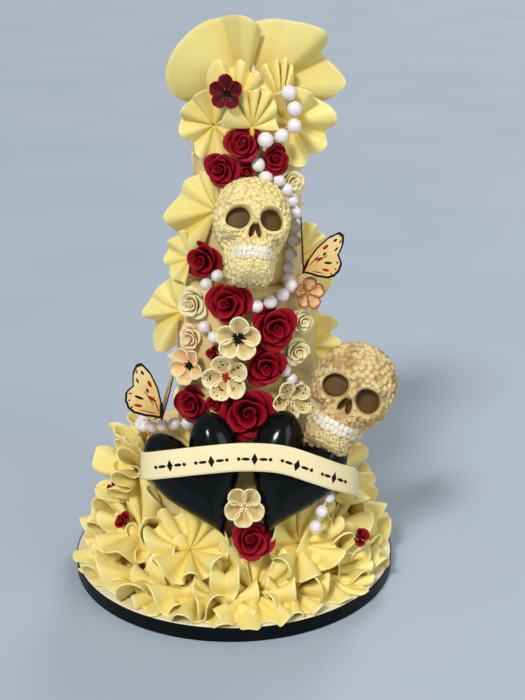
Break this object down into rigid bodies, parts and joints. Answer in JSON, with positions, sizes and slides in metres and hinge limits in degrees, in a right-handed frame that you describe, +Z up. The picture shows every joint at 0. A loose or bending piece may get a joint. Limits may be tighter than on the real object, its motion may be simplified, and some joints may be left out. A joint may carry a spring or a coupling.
{
  "type": "wedding cake",
  "caption": "Tall tiered wedding cake on an iced drum board, dressed with pleated frills, sugar roses, pearls, skulls, butterflies, black hearts and a plain banner.",
  "frame": {"origin": "middle of the board's underside, on the surface that it stands on", "axes": "+Z up, the decorated front faces -Y, +X to the right of someone looking at the front"},
  "size_m": [0.3074, 0.31, 0.5185],
  "materials": {
    "icing": "smooth ivory sugar paste",
    "frill": "satin pale yellow chocolate paste",
    "ribbon": "black satin",
    "black_glaze": "glossy black sugar paste",
    "skull_pale": "pale chocolate with a knobbly surface and brown dusting",
    "skull_antique": "pale chocolate with a knobbly surface, antiqued brown",
    "banner": "cream sugar paste",
    "wing": "painted wafer paper",
    "red_rose": "satin crimson sugar paste",
    "cream_flower": "cream sugar paste",
    "peach_flower": "cream sugar paste tinted peach",
    "dark_blossom": "dark red sugar paste",
    "pearl": "pearlescent lustre"
  },
  "bodies": {
    "root": {"board": "icing", "board_ribbon": "ribbon", "tier_bottom": "icing", "tier_middle": "icing", "tier_top": "icing", "heart_left": "black_glaze", "heart_right": "black_glaze", "skull_upper": "skull_pale", "skull_lower": "skull_antique", "banner": "banner", "butterfly_left": "wing", "butterfly_right": "wing", "rose_crown_middle": "red_rose", "rose_crown_left": "red_rose", "rose_crown_small": "red_rose", "rose_crown_right": "red_rose", "rose_skull_left": "red_rose", "rose_chin": "red_rose", "rose_right_upper": "red_rose", "rose_right_lower": "red_rose", "rose_left_low": "red_rose", "rose_heart": "red_rose", "rose_heart_bud": "red_rose", "rose_bud": "red_rose", "rose_skirt_front": "red_rose", "rose_skirt_left": "red_rose", "rose_skirt_right": "red_rose", "rose_skirt_far_left": "red_rose", "rose_cream_crown": "cream_flower", "rose_cream_left": "cream_flower", "rose_cream_right_upper": "cream_flower", "rose_cream_right_lower": "cream_flower", "rose_peach_left": "peach_flower", "blossom_black_eye": "cream_flower", "blossom_spotted": "cream_flower", "blossom_spotted_right": "cream_flower", "blossom_peach": "peach_flower", "blossom_outlined": "peach_flower", "blossom_hearts": "cream_flower", "blossom_red": "dark_blossom", "pearls_crown": "pearl", "pearls_skull": "pearl", "pearls_left": "pearl", "pearls_left_low": "pearl", "pearls_right": "pearl", "pearls_hem": "pearl", "pearls_skirt": "pearl", "frill_crown_rosette_left": "frill", "frill_crown_rosette_right": "frill", "frill_crown_middle": "frill", "frill_crown_front_left": "frill", "frill_crown_front_right": "frill", "frill_crown_left": "frill", "frill_crown_right": "frill", "frill_side_left_upper": "frill", "frill_side_left_lower": "frill", "frill_side_right_upper": "frill", "frill_side_right_lower": "frill", "frill_back": "frill", "frill_skirt": "frill"}
  },
  "joints": []
}
